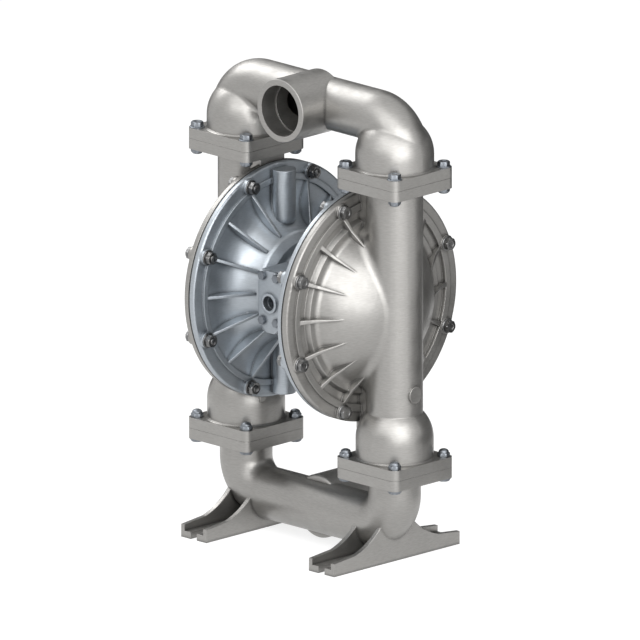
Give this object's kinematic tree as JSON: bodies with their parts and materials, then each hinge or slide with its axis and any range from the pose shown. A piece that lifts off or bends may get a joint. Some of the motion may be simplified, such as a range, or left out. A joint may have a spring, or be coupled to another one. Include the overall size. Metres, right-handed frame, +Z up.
{
  "type": "air operated diaphragm pump",
  "caption": "Air operated double diaphragm pump with domed ribbed chambers, side columns, U-shaped pipe manifolds, ball check valves and a footed base.",
  "frame": {"origin": "middle of the pump's footprint, on the floor that the feet stand on", "axes": "X along the diaphragm rod and the pipes, -Y the side of the outlet and air inlet, +Y the side of the inlet, Z up"},
  "size_m": [0.492, 0.402, 0.8147],
  "materials": {
    "cast_stainless": "blasted stainless steel casting, satin",
    "cast_aluminium": "blasted aluminium casting, satin, slightly blue",
    "diaphragm_rubber": "matt black rubber",
    "seal_rubber": "matt black rubber",
    "bushing_bronze": "turned bronze",
    "ball_rubber": "moulded rubber ball",
    "valve_plastic": "machined acetal",
    "valve_metal": "anodised aluminium",
    "machined_stainless": "turned stainless steel",
    "zinc_steel": "zinc plated steel, bluish grey"
  },
  "bodies": {
    "housing": {"left_fluid_cap": "cast_stainless", "right_fluid_cap": "cast_stainless", "left_air_cap": "cast_aluminium", "right_air_cap": "cast_aluminium", "left_diaphragm": "diaphragm_rubber", "right_diaphragm": "diaphragm_rubber", "left_rod_bushing": "bushing_bronze", "right_rod_bushing": "bushing_bronze", "left_rod_seal": "seal_rubber", "right_rod_seal": "seal_rubber", "left_body_gasket": "seal_rubber", "right_body_gasket": "seal_rubber", "left_hub_screws": "zinc_steel", "right_hub_screws": "zinc_steel", "left_inlet_seat": "machined_stainless", "right_inlet_seat": "machined_stainless", "left_inlet_seat_seal": "seal_rubber", "right_inlet_seat_seal": "seal_rubber", "left_outlet_seat": "machined_stainless", "right_outlet_seat": "machined_stainless", "left_outlet_seat_seal": "seal_rubber", "right_outlet_seat_seal": "seal_rubber", "left_cap_bolts": "zinc_steel", "right_cap_bolts": "zinc_steel", "left_cap_nuts": "zinc_steel", "right_cap_nuts": "zinc_steel", "inlet_manifold": "cast_stainless", "outlet_manifold": "cast_stainless", "center_body": "cast_aluminium", "air_inlet_gasket": "seal_rubber", "air_inlet_plate": "cast_aluminium", "air_inlet_screws": "zinc_steel", "pilot_sleeve": "valve_plastic", "valve_gasket": "seal_rubber", "valve_block": "cast_aluminium", "valve_screws": "zinc_steel", "valve_sleeve": "valve_plastic", "top_valve_cap": "cast_aluminium", "bottom_valve_cap": "cast_aluminium", "valve_cap_screws": "zinc_steel", "inlet_flange_bolts": "zinc_steel", "inlet_flange_nuts": "zinc_steel", "outlet_flange_bolts": "zinc_steel", "outlet_flange_nuts": "zinc_steel"},
    "rod": {"connecting_rod": "machined_stainless", "left_fluid_washer": "machined_stainless", "left_air_washer": "cast_aluminium", "left_rod_screw": "zinc_steel", "right_fluid_washer": "machined_stainless", "right_air_washer": "cast_aluminium", "right_rod_screw": "zinc_steel"},
    "pilot": {"pilot_shuttle": "valve_metal"},
    "spool": {"valve_spool": "valve_metal"},
    "left_inlet_ball": {"left_inlet_ball": "ball_rubber"},
    "left_outlet_ball": {"left_outlet_ball": "ball_rubber"},
    "right_inlet_ball": {"right_inlet_ball": "ball_rubber"},
    "right_outlet_ball": {"right_outlet_ball": "ball_rubber"}
  },
  "joints": [
    {"name": "rod_slide", "type": "slide", "parent": "housing", "child": "rod", "axis": [1, 0, 0], "range_m": [-0.038, 0.038], "deforming": ["left_diaphragm", "right_diaphragm"]},
    {"name": "pilot_shift", "type": "slide", "parent": "housing", "child": "pilot", "axis": [1, 0, 0], "range_m": [-0.006, 0.006]},
    {"name": "spool_shift", "type": "slide", "parent": "housing", "child": "spool", "axis": [0, 0, 1], "range_m": [-0.012, 0.012]},
    {"name": "left_inlet_ball_lift", "type": "slide", "parent": "housing", "child": "left_inlet_ball", "axis": [0, 0, 1], "range_m": [0, 0.022]},
    {"name": "left_outlet_ball_lift", "type": "slide", "parent": "housing", "child": "left_outlet_ball", "axis": [0, 0, 1], "range_m": [0, 0.022]},
    {"name": "right_inlet_ball_lift", "type": "slide", "parent": "housing", "child": "right_inlet_ball", "axis": [0, 0, 1], "range_m": [0, 0.022]},
    {"name": "right_outlet_ball_lift", "type": "slide", "parent": "housing", "child": "right_outlet_ball", "axis": [0, 0, 1], "range_m": [0, 0.022]}
  ],
  "couplings": [
    {"joint": "pilot_shift", "follows": "rod_slide", "ratio": 0.1575}
  ]
}
